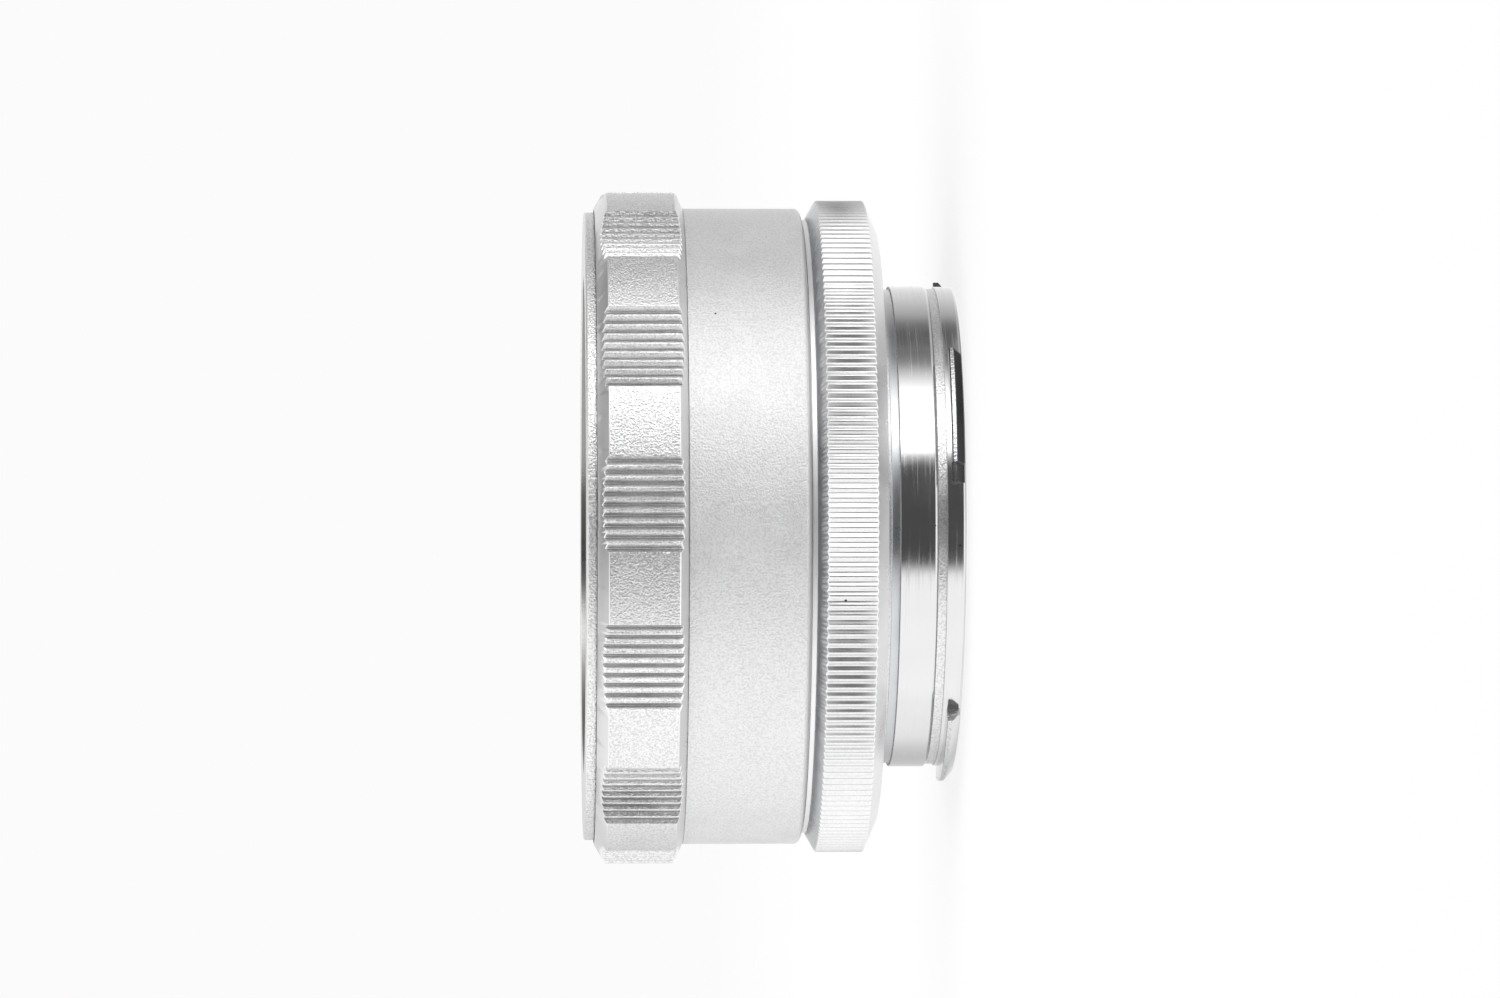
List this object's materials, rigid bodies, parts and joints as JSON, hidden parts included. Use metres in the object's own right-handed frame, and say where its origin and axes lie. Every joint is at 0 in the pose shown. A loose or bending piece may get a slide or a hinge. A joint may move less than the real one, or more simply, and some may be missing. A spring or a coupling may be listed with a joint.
{
  "type": "focusing mount adapter",
  "caption": "Chromed helical focusing mount for a lens head: scalloped focusing grip, plain sleeve, knurled mount ring and a rear bayonet with lugs.",
  "frame": {"origin": "centre of the bayonet's rear end, on the optical axis", "axes": "+Z along the optical axis towards the lens head; -Y is the side that the picture shows"},
  "size_m": [0.0579, 0.0579, 0.0317],
  "materials": {
    "satin_chrome": "fine satin chrome",
    "polished_chrome": "polished chrome",
    "lapped_brass": "lapped and greased",
    "blacked_metal": "matt black",
    "screw_steel": "bright turned",
    "red_enamel": "glossy enamel"
  },
  "bodies": {
    "mount_body": {"bayonet_mount": "polished_chrome", "bayonet_screw_1": "screw_steel", "bayonet_screw_2": "screw_steel", "bayonet_screw_3": "screw_steel", "bayonet_screw_4": "screw_steel", "bayonet_screw_5": "screw_steel", "bayonet_screw_6": "screw_steel", "rear_light_baffle": "blacked_metal", "knurled_mount_ring": "satin_chrome", "index_bead": "red_enamel", "fixed_barrel": "satin_chrome", "guide_key_1": "lapped_brass", "guide_key_2": "lapped_brass", "guide_key_screw_1": "screw_steel", "guide_key_screw_2": "screw_steel", "guide_key_screw_3": "screw_steel", "guide_key_screw_4": "screw_steel", "travel_stop_screw": "screw_steel"},
    "lens_carrier": {"lens_carrier_tube": "lapped_brass", "carrier_retaining_ring": "lapped_brass", "front_rim": "satin_chrome", "carrier_light_trap": "blacked_metal"},
    "focus_ring": {"scale_sleeve": "satin_chrome", "focus_grip_ring": "satin_chrome", "focus_helicoid": "lapped_brass", "grip_screw_1": "screw_steel", "grip_screw_2": "screw_steel", "grip_screw_3": "screw_steel", "grip_screw_4": "screw_steel"}
  },
  "joints": [
    {"name": "carrier_slide", "type": "slide", "parent": "mount_body", "child": "lens_carrier", "axis": [0, 0, 1], "range_m": [0, 0.01]},
    {"name": "focus_turn", "type": "hinge", "parent": "lens_carrier", "child": "focus_ring", "pos_m": [0, 0, 0.02], "axis": [0, 0, 1], "range_deg": [0, 300]}
  ],
  "couplings": [
    {"joint": "carrier_slide", "follows": "focus_turn", "m_per_rad": 0.0019099}
  ]
}
